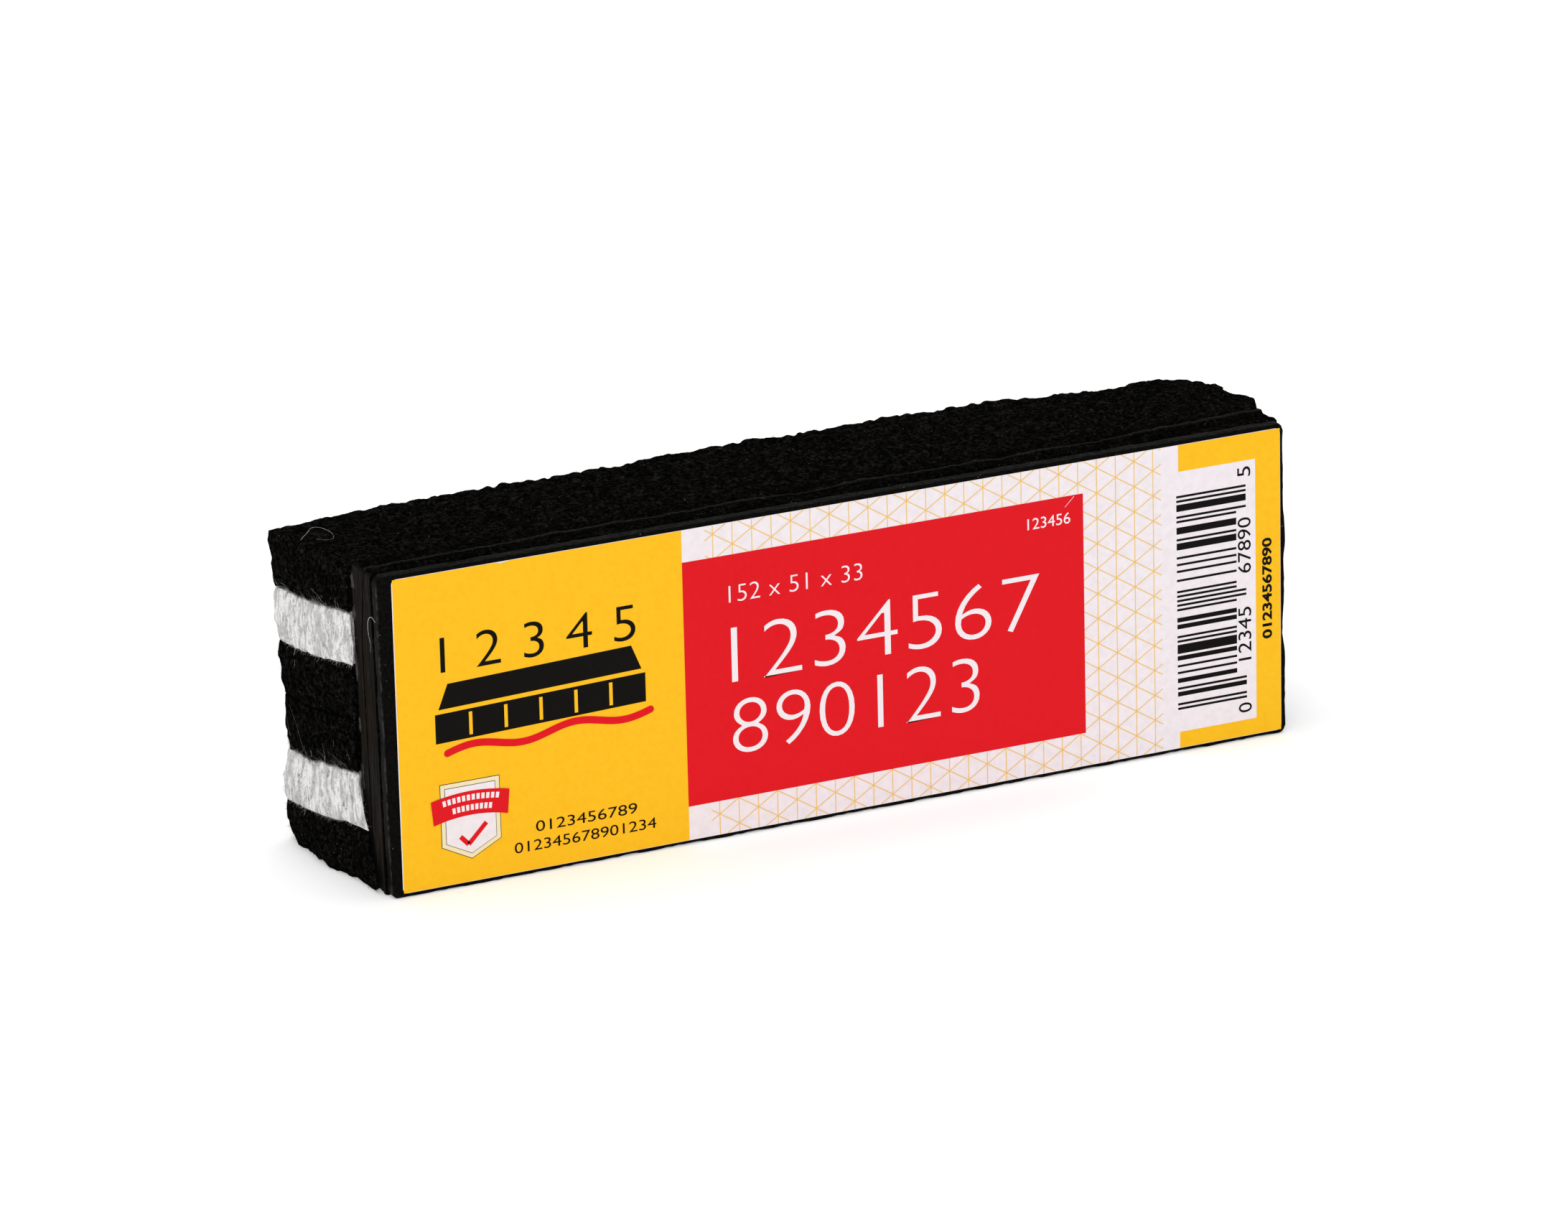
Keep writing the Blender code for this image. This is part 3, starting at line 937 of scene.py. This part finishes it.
def make_hairs():
    """Loose lint: a loop on the top near the left end, a hook on the backing and strands over the felt."""
    top = HEIGHT + 0.25
    back = FRONT + 21.0
    loop = [
        (-79.2, back + 4.0, top - 2.5), (-78.6, back + 3.2, top - 0.8), (-77.6, back + 3.0, top + 0.2),
        (-76.2, back + 4.6, top + 0.3), (-74.8, back + 4.2, top + 0.2), (-74.3, back + 1.4, top + 0.1),
        (-75.0, back - 0.8, top), (-76.4, back - 1.2, top + 0.1), (-77.2, back + 0.4, top - 0.1),
    ]
    make_hair("lint_loop", loop, 0.03)
    hook = []
    for depth, height in ((0.3, 43.9), (1.8, 44.3), (3.0, 43.4), (3.2, 41.6), (2.6, 39.8), (2.7, 38.5)):
        hook.append((-HALF_LENGTH - left_slant(height) - 0.22, FRONT + depth, height))
    make_hair("lint_hook", hook, 0.045)
    rng = np.random.default_rng(61)
    for k, (depth, height) in enumerate(STRAND_PLACES):
        y = FRONT + depth + np.cumsum(rng.normal(0.0, 0.35, STRAND_STEPS))
        z = height - np.linspace(0.0, 4.5, STRAND_STEPS) + rng.normal(0.0, 0.2, STRAND_STEPS)
        x = -left_reach(y, z) - 0.25 + rng.normal(0.0, 0.06, STRAND_STEPS)
        make_hair(f"lint_strand_{k + 1}", spots(x, y, z), 0.025)


# ---- Glue ---------------------------------------------------------------------------------------

SMEAR_HEIGHTS = (43.0, 35.6, 33.8, 18.5, 16.6, 9.6, 25.0, 47.5)
SMEAR_HALF_DEPTHS = (0.35, 0.7)
SMEAR_HALF_HEIGHTS = (0.8, 1.9)
SMEAR_HALF_THICKNESS = 0.16
SMEAR_SIDES = 28
SMEAR_RINGS = 13


def make_smears():
    """Glue that squeezed out at the felt's root, on both cut ends: small flat irregular smears."""
    rng = np.random.default_rng(71)
    places = []
    for side in (-1, 1):
        for height in SMEAR_HEIGHTS:
            height = height + rng.normal(0.0, 0.4)
            half_depth = rng.uniform(*SMEAR_HALF_DEPTHS)
            places.append((side, height, half_depth, rng.uniform(*SMEAR_HALF_HEIGHTS)))
    for k, (side, height, half_depth, half_height) in enumerate(places):
        turns = np.linspace(0.0, 2.0 * np.pi, SMEAR_SIDES, endpoint=False)
        turn, lift = (grid.ravel() for grid in np.meshgrid(turns, np.linspace(-1.0, 1.0, SMEAR_RINGS)))
        level = np.sqrt(np.clip(1.0 - lift ** 2, 0.0004, 1.0))
        ball = spots(
            lift * SMEAR_HALF_THICKNESS,
            level * np.cos(turn) * half_depth,
            level * np.sin(turn) * half_height,
        )
        spread = 1.0 + 0.45 * smooth_noise(ball + 10.0 * k, 0.5, 72)
        ball *= spread[:, None]
        backing = HALF_LENGTH + cut_stand(side, height)
        ball += (side * (backing + 0.05), ROOT - 0.5 - 0.4 * half_depth, height)
        faces = []
        for ring, place in product(range(SMEAR_RINGS - 1), range(SMEAR_SIDES)):
            a = ring * SMEAR_SIDES + place
            b = ring * SMEAR_SIDES + (place + 1) % SMEAR_SIDES
            faces.append((a, b, b + SMEAR_SIDES, a + SMEAR_SIDES))
        faces.append(tuple(reversed(range(SMEAR_SIDES))))
        faces.append(tuple(range((SMEAR_RINGS - 1) * SMEAR_SIDES, SMEAR_RINGS * SMEAR_SIDES)))
        add_mesh(f"glue_smear_{k + 1}", ball, faces, "glue")


# ---- Printed label ------------------------------------------------------------------------------

# Places on the label are (across, up) from its lower left corner.
LABEL_SIZE = LABEL_HIGH - LABEL_LOW
LABEL_WIDTH = LABEL_SIZE[0]
LABEL_HEIGHT = LABEL_SIZE[2]
# Ink layers stand on the paper with a small gap; each level lies a step further out.
INK_GAP = 0.004
INK_THICKNESS = 0.012
INK_STEP = 0.018
TEXT_EXTRUDE = 0.01
TEXT_RESOLUTION = 6
YELLOW_WIDTH = 47.4
RED_WIDTH = 68.05
RED_LOW = 5.4
RED_HIGH = 44.3
GRID_LAST = 127.65
GRID_PITCH = 3.264
GRID_RISE = 4.06
GRID_COUNT = 24
GRID_PHASE = 45.95
GRID_LINE = 0.15
GRID_STUB = 0.42 * GRID_PITCH
GRID_KNOT = 0.2
GRID_KNOT_MARGIN = 0.6
PAPER_MARGIN = 0.04
BRACKET_LEFT = 132.0
BRACKET_TOP_LEFT = 132.1
BRACKET_INNER_RIGHT = 145.6
BRACKET_INNER_LOW = 2.65
BRACKET_INNER_HIGH = 45.1


def on_label(outline, level):
    """Points of the ink's back and front for an outline of (across, up) points."""
    back = FRONT - INK_GAP - level * INK_STEP
    across = LABEL_LOW[0] + np.array([point[0] for point in outline])
    up = LABEL_LOW[2] + np.array([point[1] for point in outline])
    rear = spots(across, back, up)
    front = rear - (0.0, INK_THICKNESS, 0.0)
    return rear, front


def ink_plates(name, outlines, colour, level=0):
    """A thin printed layer from simple outlines, each counter-clockwise as seen from the front."""
    points = []
    faces = []
    for outline in outlines:
        start = len(points)
        count = len(outline)
        rear, front = on_label(outline, level)
        points.extend(rear)
        points.extend(front)
        faces.append([start + count + k for k in range(count)])
        faces.append([start + k for k in reversed(range(count))])
        for k in range(count):
            after = (k + 1) % count
            faces.append([start + k, start + after, start + count + after, start + count + k])
    add_mesh(name, points, faces, colour).data.shade_flat()


def flatten_onto_label(name, data, colour, level, fit):
    """Turns flat text data into a closed printed layer; fit places it on the label."""
    holder = bpy.data.objects.new(f"{name}_source", data)
    bpy.context.scene.collection.objects.link(holder)
    bpy.context.view_layer.update()
    mesh = bpy.data.meshes.new_from_object(holder.evaluated_get(bpy.context.evaluated_depsgraph_get()))
    bpy.data.objects.remove(holder)
    bpy.data.curves.remove(data)
    flat = np.array([vertex.co for vertex in mesh.vertices])
    faces = [tuple(face.vertices) for face in mesh.polygons]
    bpy.data.meshes.remove(mesh)
    flat = fit(flat)
    depth = FRONT - INK_GAP - level * INK_STEP - INK_THICKNESS / 2
    across, up, side = flat.T
    places = spots(LABEL_LOW[0] + across, depth - np.sign(side) * INK_THICKNESS / 2, LABEL_LOW[2] + up)
    merged, where = np.unique(np.round(places, 5), axis=0, return_inverse=True)
    where = where.ravel()
    faces = [tuple(dict.fromkeys(int(where[v]) for v in face)) for face in faces]
    faces = [face for face in faces if len(face) > 2]
    add_mesh(name, merged, faces, colour).data.shade_flat()


def ink_text(name, body, low, size, colour, level=1, weight=0.0, upright=False):
    """Digits printed in a box of a size from its lower left corner; upright text reads from bottom to top."""
    data = bpy.data.curves.new(name, "FONT")
    data.body = body
    data.extrude = TEXT_EXTRUDE
    data.offset = weight
    data.resolution_u = TEXT_RESOLUTION

    def fit(flat):
        spread = flat.max(0) - flat.min(0)
        share = (flat - flat.min(0)) / np.maximum(spread, 1e-9)
        across = 1.0 - share[:, 1] if upright else share[:, 0]
        up = share[:, 0] if upright else share[:, 1]
        return spots(low[0] + across * size[0], low[1] + up * size[1], flat[:, 2])

    flatten_onto_label(name, data, colour, level, fit)


def rectangle(left, bottom, right, top):
    return [(left, bottom), (right, bottom), (right, top), (left, top)]


def arc(centre, radius, start, end, count):
    """Points of an arc, angles in degrees; radius may be (across, up)."""
    wide, tall = radius if isinstance(radius, tuple) else (radius, radius)
    angles = np.radians(np.linspace(start, end, count))
    return [(centre[0] + wide * math.cos(a), centre[1] + tall * math.sin(a)) for a in angles]


def line_plate(start, end, width):
    """A thin straight line as a rectangle."""
    start = np.array(start, float)
    end = np.array(end, float)
    along = unit(end - start)
    side = np.array([-along[1], along[0]]) * width / 2
    return [tuple(start - side), tuple(end - side), tuple(end + side), tuple(start + side)]


def ribbon(points, width):
    """A thick line through points, with round ends, as one outline."""
    points = np.array(points, float)
    along = unit(np.gradient(points, axis=0))
    side = np.stack([-along[:, 1], along[:, 0]], axis=1) * width / 2
    right = [tuple(p) for p in points - side]
    left = [tuple(p) for p in (points + side)[::-1]]
    return right + round_end(points[-1], along[-1], width) + left + round_end(points[0], -along[0], width)


ROUND_END_REACH = 75.0
ROUND_END_POINTS = 7


def round_end(centre, direction, width):
    """An arc round the end of a thick line that runs in a direction."""
    heading = math.degrees(math.atan2(direction[1], direction[0]))
    return arc(centre, width / 2, heading - ROUND_END_REACH, heading + ROUND_END_REACH, ROUND_END_POINTS)


def print_panels():
    low = PAPER_MARGIN
    high = LABEL_HEIGHT - PAPER_MARGIN
    right = LABEL_WIDTH - PAPER_MARGIN
    yellow = rectangle(low * 3, low, YELLOW_WIDTH, high)
    ink_plates("label_yellow_panel", [yellow], "yellow")
    red = rectangle(YELLOW_WIDTH - 0.02, RED_LOW, YELLOW_WIDTH + RED_WIDTH, RED_HIGH)
    ink_plates("label_red_panel", [red], "red", 1)
    bracket = [
        (BRACKET_LEFT, low), (right, low), (right, high), (BRACKET_TOP_LEFT, high),
        (BRACKET_TOP_LEFT, BRACKET_INNER_HIGH), (BRACKET_INNER_RIGHT, BRACKET_INNER_HIGH),
        (BRACKET_INNER_RIGHT, BRACKET_INNER_LOW), (BRACKET_LEFT, BRACKET_INNER_LOW),
    ]
    ink_plates("label_yellow_bracket", [bracket], "yellow")


def grid_vertex_heights(column):
    """Heights of the crossings on an upright line; column 0 is the one at the right."""
    first = GRID_PHASE + (GRID_RISE / 2 if column % 2 else 0.0)
    return first - GRID_RISE * np.arange(-1, 14)


def print_grid():
    """Upright lines with slanted lines that meet on them, behind the red panel."""
    lines = []
    for column in range(GRID_COUNT):
        across = GRID_LAST - GRID_PITCH * column
        lines.append(line_plate((across, PAPER_MARGIN), (across, LABEL_HEIGHT - PAPER_MARGIN), GRID_LINE))
    slants = []
    first = GRID_LAST - GRID_PITCH * (GRID_COUNT - 1)
    for direction in (1, -1):
        slope = direction * GRID_RISE / 2 / GRID_PITCH
        for step in range(-24, 26):
            height = GRID_PHASE + GRID_RISE * step
            ends = clip_line(GRID_LAST, height, slope, first - GRID_STUB, GRID_LAST + GRID_STUB)
            if ends:
                slants.append(line_plate(*ends, GRID_LINE))
    ink_plates("label_grid_uprights", lines, "grid")
    ink_plates("label_grid_slants", slants, "grid", 0.3)
    knots = []
    for column in range(GRID_COUNT):
        across = GRID_LAST - GRID_PITCH * column
        for height in grid_vertex_heights(column):
            if GRID_KNOT_MARGIN < height < LABEL_HEIGHT - GRID_KNOT_MARGIN:
                knots.append(arc((across, height), GRID_KNOT, 0.0, 315.0, 8))
    ink_plates("label_grid_crossings", knots, "grid", 0.6)


def clip_line(across, height, slope, left, right):
    """The stretch of a slanted line that lies on the label between left and right, or None."""
    low = PAPER_MARGIN
    high = LABEL_HEIGHT - PAPER_MARGIN
    spots = sorted((across + (edge - height) / slope) for edge in (low, high))
    start = max(left, spots[0])
    end = min(right, spots[1])
    if end - start < 0.3:
        return None
    return (start, height + slope * (start - across)), (end, height + slope * (end - across))


# Widths of each digit's two spaces and two bars in turn, in modules, and the twelve made-up digits.
DIGIT_BARS = ("3211", "2221", "2122", "1411", "1132", "1231", "1114", "1312", "1213", "3112")
BAR_DIGITS = "012345678905"
BAR_LOW = 6.3
BAR_HIGH = 41.2
BAR_LEFT = 131.7
BAR_RIGHT_SHORT = 142.2
BAR_RIGHT_LONG = 143.9
GUARD = (True, False, True)
MIDDLE_GUARD = (False, True, False, True, False)
# Digits beside the bars: name, digits, lowest place and length up the label.
BAR_LABELS = (
    ("first", "0", 3.9, 1.6),
    ("low", "12345", 12.5, 8.7),
    ("high", "67890", 26.8, 9.05),
    ("last", "5", 42.5, 1.6),
)


def bar_widths():
    """The bars and spaces from the bottom up, as (width in modules, is bar, is long)."""
    guard = [(1, dark, True) for dark in GUARD]
    runs = list(guard)
    dark = False
    for place, digit in enumerate(BAR_DIGITS):
        if place == len(BAR_DIGITS) // 2:
            runs += [(1, middle_dark, True) for middle_dark in MIDDLE_GUARD]
            dark = True
        for width in DIGIT_BARS[int(digit)]:
            runs.append((int(width), dark, place in (0, len(BAR_DIGITS) - 1)))
            dark = not dark
    return runs + guard


def print_bars():
    runs = bar_widths()
    module = (BAR_HIGH - BAR_LOW) / sum(width for width, _, _ in runs)
    up = BAR_LOW
    bars = []
    for width, dark, guard in runs:
        if dark:
            right = BAR_RIGHT_LONG if guard else BAR_RIGHT_SHORT
            bars.append(rectangle(BAR_LEFT, up, right, up + width * module))
        up += width * module
    ink_plates("label_bars", bars, "black")
    for name, digits, low, length in BAR_LABELS:
        ink_text(f"label_bar_digits_{name}", digits, (142.45, low), (2.3, length), "black", 0, upright=True)
    place = (146.7, 15.4)
    size = (1.75, 16.5)
    ink_text("label_edge_digits", "01234567890", place, size, "black", weight=0.03, upright=True)


def print_red_panel():
    ink_text("label_size_digits", "152 x 51 x 33", (55.0, 36.7), (22.5, 2.7), "white", 2, -0.014)
    ink_text("label_big_digits_upper", "1234567", (55.2, 23.8), (52.5, 9.0), "white", 2, -0.018)
    ink_text("label_big_digits_lower", "890123", (55.1, 12.3), (42.0, 8.8), "white", 2, -0.018)
    ink_text("label_small_digits", "123456", (105.8, 39.9), (7.4, 1.8), "white", 2)
    ink_plates("label_scratch", [line_plate((113.9, 44.1), (112.3, 42.6), 0.07)], "white", 2)


# The shield's left, right, low and high sides, how far its shoulders are above its point, and its layers.
BADGE_BOX = (6.5, 16.3, 3.6, 16.1)
BADGE_POINT = 2.5
BADGE_LAYERS = (
    ("edge", 0.0, "black"), ("border", 0.10, "cream"), ("line", 0.75, "black"), ("field", 0.83, "paper"),
)
BADGE_TICK = ((9.6, 7.4), (10.9, 6.0), (13.9, 9.0))
BADGE_TICK_WIDTH = 0.75
# The ribbon is an arc round a centre below the label. Dashes lie in rows: radius, half spread in degrees.
RIBBON_CENTRE_UP = -12.6
RIBBON_INNER = 23.2
RIBBON_OUTER = 27.0
DASH_ROWS = ((26.0, 10.4), (24.4, 8.2))
DASH_PITCH = 1.75
DASH_LENGTH = 1.15
DASH_HALF_WIDTH = 0.45


def print_badge():
    """A shield with a curved ribbon across it and a tick below, all without wording."""
    left, right, low, high = BADGE_BOX
    middle = (left + right) / 2
    for level, (name, inset, colour) in enumerate(BADGE_LAYERS, start=1):
        outline = [
            (left + inset, low + BADGE_POINT + 0.6 * inset), (middle, low + 1.15 * inset),
            (right - inset, low + BADGE_POINT + 0.6 * inset), (right - inset, high - inset),
            (left + inset, high - inset),
        ]
        ink_plates(f"label_badge_{name}", [outline], colour, level)
    centre = (middle, RIBBON_CENTRE_UP)
    lower = arc(centre, RIBBON_INNER, 105.2, 74.8, 16)
    upper = arc(centre, RIBBON_OUTER, 76.2, 103.8, 16)
    ink_plates("label_badge_ribbon", [lower + upper], "red", 5)
    for row, (radius, spread) in enumerate(DASH_ROWS):
        dashes = []
        for start in np.arange(90.0 - spread, 90.0 + spread - 1.0, DASH_PITCH):
            inner = arc(centre, radius - DASH_HALF_WIDTH, start + DASH_LENGTH, start, 3)
            dashes.append(inner + arc(centre, radius + DASH_HALF_WIDTH, start, start + DASH_LENGTH, 3))
        ink_plates(f"label_badge_dashes_{row + 1}", dashes, "white", 6)
    strokes = [line_plate(start, end, BADGE_TICK_WIDTH) for start, end in zip(BADGE_TICK, BADGE_TICK[1:])]
    ink_plates("label_badge_tick", strokes, "red", 5)


# The pictured eraser's lower left corner, length, rise to the right, felt and back heights and back inset.
PICTURE_CORNER = (6.2, 22.6)
PICTURE_LENGTH = 34.6
PICTURE_RISE = 0.9
PICTURE_FELT = 4.6
PICTURE_BACK = 3.9
PICTURE_INSET = 2.2


def print_pictogram():
    """A row of digits over a plain picture of a felt eraser that wipes a stroke."""
    ink_text("label_picture_digits", "1 2 3 4 5", (7.4, 33.6), (32.0, 5.6), "black", 1, -0.01)
    left, low = PICTURE_CORNER
    right = left + PICTURE_LENGTH
    rise = PICTURE_RISE
    felt_top = low + PICTURE_FELT
    felt = [(left, low), (right, low + rise), (right, low + rise + PICTURE_FELT), (left, felt_top)]
    base = felt_top + 0.7
    back = [
        (left + 0.6, base), (right - 0.6, base + rise),
        (right - PICTURE_INSET, base + rise + PICTURE_BACK), (left + PICTURE_INSET, base + PICTURE_BACK),
    ]
    ink_plates("label_picture_back", [back], "black", 1)
    ink_plates("label_picture_felt", [felt], "black", 1)
    stripes = []
    for k in range(1, STRIP_COUNT):
        across = left + PICTURE_LENGTH * k / STRIP_COUNT
        bottom = low + rise * k / STRIP_COUNT
        stripes.append(line_plate((across, bottom + 0.5), (across, bottom + PICTURE_FELT - 0.5), 0.55))
    ink_plates("label_picture_stripes", stripes, "yellow", 2)
    share = np.linspace(0.0, 1.0, 60)
    wave = 0.7 * np.sin(4.0 * np.pi * share)
    sweep = np.stack([8.0 + 33.5 * share, 20.9 + 1.2 * share + wave], axis=1)
    ink_plates("label_picture_sweep", [ribbon(sweep, 1.15)], "red", 2)


def print_yellow_panel():
    print_pictogram()
    print_badge()
    ink_text("label_line_digits_upper", "0123456789", (22.0, 5.95), (16.8, 1.7), "black", 1)
    ink_text("label_line_digits_lower", "012345678901234", (18.4, 3.05), (23.5, 1.7), "black", 1)


# The chip's outline: how far across the label, and how far below its top edge.
NICK = ((16.9, 0.0), (17.2, 0.12), (17.6, 0.2), (18.2, 0.14), (18.6, 0.1), (18.9, 0.0))


def print_edges():
    """White paper where the print is chipped off along the top edge."""
    top = LABEL_HEIGHT - 0.01
    nick = [(across, top - depth) for across, depth in NICK]
    ink_plates("label_nick", [nick], "paper", 2)


NODE_MATERIALS = {
    "label": "paper", "label_adhesive": "adhesive", "board_glue": "glue", "felt_glue_bed": "glue",
}


def dress_cad_nodes():
    """Node materials for the CAD pieces that stay in sight or lie between the layers."""
    for name, material in NODE_MATERIALS.items():
        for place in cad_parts[name].material_slots:
            place.material = MATERIALS[material]


def add_floor():
    mesh = bpy.data.meshes.new("floor")
    half = FLOOR_SIZE / 2
    corners = [(-half, -half, 0.0), (half, -half, 0.0), (half, half, 0.0), (-half, half, 0.0)]
    mesh.from_pydata(corners, [], [(0, 1, 2, 3)])
    mesh.materials.append(floor_material())
    floor = bpy.data.objects.new("floor", mesh)
    floor.location.z = -FLOOR_DROP
    bpy.context.scene.collection.objects.link(floor)


def main():
    bpy.context.scene.view_settings.view_transform = "Standard"
    add_camera()
    add_world()
    for light in LIGHTS:
        add_area_light(*light)
    add_floor()
    dress_cad_nodes()
    make_board()
    make_ply("backing_ply_front", FRONT_PLY_LOW, FRONT_PLY_HIGH, 1, 21)
    make_ply("backing_ply_rear", REAR_PLY_LOW, REAR_PLY_HIGH, -1, 22)
    make_seam_glue()
    for number, colour in enumerate(STRIP_COLOURS, start=1):
        points, quads = make_strip(number, colour)
        make_fuzz(number, colour, points, quads)
    make_fringes()
    make_hairs()
    make_smears()
    print_panels()
    print_grid()
    print_bars()
    print_red_panel()
    print_yellow_panel()
    print_edges()


main()
